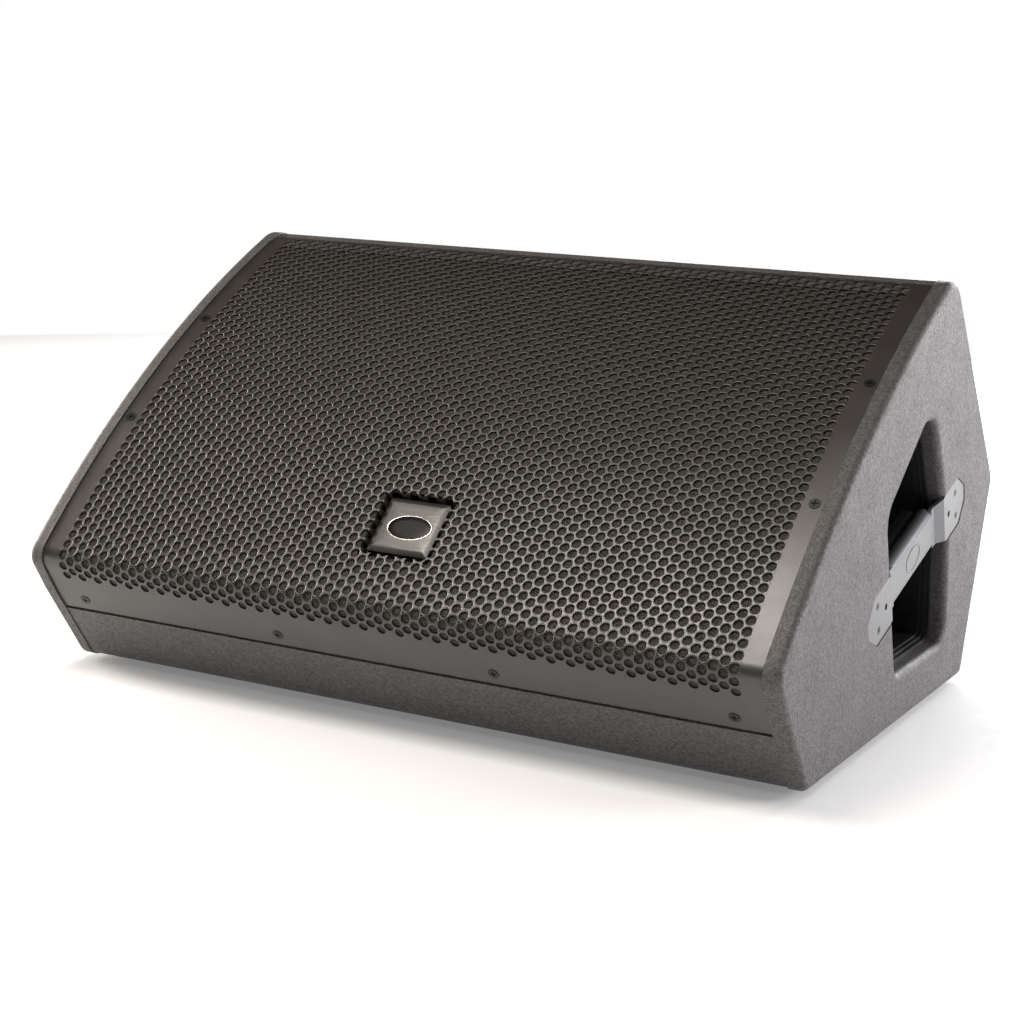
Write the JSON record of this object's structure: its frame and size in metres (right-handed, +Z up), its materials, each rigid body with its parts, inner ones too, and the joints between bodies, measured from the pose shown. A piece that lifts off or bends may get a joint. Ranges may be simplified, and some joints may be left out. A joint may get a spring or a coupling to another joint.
{
  "type": "stage monitor wedge",
  "caption": "Low wedge-shaped floor loudspeaker with a curved perforated steel grille, a recessed badge, two recessed strap handles and a jack panel at the rear.",
  "frame": {"origin": "centre of the underside of the overall box, on the floor the feet stand on", "axes": "+X to the cabinet's right as seen from the front, +Y to its rear, +Z up; the grille faces -Y and up"},
  "size_m": [0.71, 0.529, 0.3777],
  "materials": {
    "cabinet_paint": "textured sprayed coat over plywood",
    "plywood": "bare birch plywood",
    "grille_powder_coat": "satin powder coat",
    "foam": "open-cell foam",
    "wadding": "polyester wadding",
    "black_screw": "black passivated steel",
    "zinc_steel": "bright zinc",
    "brushed_badge": "brushed",
    "handle_steel": "satin grey metallic",
    "rubber_grip": "matt",
    "recess_plastic": "matt black",
    "cast_basket": "black enamel",
    "gasket_rubber": "matt",
    "paper_cone": "pressed paper",
    "coil_polyimide": "amber film",
    "copper": "enamelled copper wire",
    "spider_cloth": "doped cotton",
    "ferrite": "sintered ferrite",
    "driver_cover_plastic": "moulded",
    "titanium": "thin formed foil",
    "circuit_board": "glass-epoxy laminate",
    "nylon": "natural nylon",
    "capacitor_film": "wrapped film",
    "ceramic_white": "unglazed",
    "connector_steel": "satin black",
    "jack_nylon": "moulded nylon"
  },
  "bodies": {
    "cabinet": {"badge": "brushed_badge", "baffle": "plywood", "capacitors": "capacitor_film", "connector_plate": "connector_steel", "corner_battens": "plywood", "crossover_board": "circuit_board", "crossover_pillars": "nylon", "crossover_screws": "zinc_steel", "damping_lining": "wadding", "driver_body": "cast_basket", "driver_cover": "driver_cover_plastic", "driver_diaphragm": "titanium", "driver_magnet": "ferrite", "feet": "rubber_grip", "floor_board": "cabinet_paint", "foot_screws": "zinc_steel", "front_board": "cabinet_paint", "grille": "grille_powder_coat", "grille_cleats": "plywood", "grille_foam": "foam", "grille_screws": "black_screw", "handle_bar_left": "handle_steel", "handle_bar_right": "handle_steel", "handle_bolts": "black_screw", "handle_cup_left": "recess_plastic", "handle_cup_right": "recess_plastic", "handle_grip_left": "rubber_grip", "handle_grip_right": "rubber_grip", "handle_screws": "black_screw", "horn": "recess_plastic", "horn_screws": "black_screw", "inductors": "copper", "input_jack": "jack_nylon", "link_jack": "jack_nylon", "plate_screws": "black_screw", "port_tubes": "recess_plastic", "rear_lower_board": "cabinet_paint", "rear_upper_board": "cabinet_paint", "resistors": "ceramic_white", "side_left": "cabinet_paint", "side_right": "cabinet_paint", "tee_nuts": "zinc_steel", "top_rail": "cabinet_paint", "woofer_basket": "cast_basket", "woofer_bolts": "black_screw", "woofer_gasket": "gasket_rubber", "woofer_magnet": "ferrite", "woofer_pole": "zinc_steel", "woofer_spider": "spider_cloth", "woofer_surround": "gasket_rubber", "woofer_top_plate": "zinc_steel"},
    "cone_assembly": {"woofer_cone": "paper_cone", "woofer_dust_cap": "paper_cone", "coil_former": "coil_polyimide", "coil_winding": "copper"}
  },
  "joints": [
    {"name": "cone_travel", "type": "slide", "parent": "cabinet", "child": "cone_assembly", "axis": [0, -0.5869, 0.8097], "range_m": [-0.006, 0.006], "stiffness_N_per_m": 4000, "deforming": ["woofer_surround", "woofer_spider"]}
  ]
}
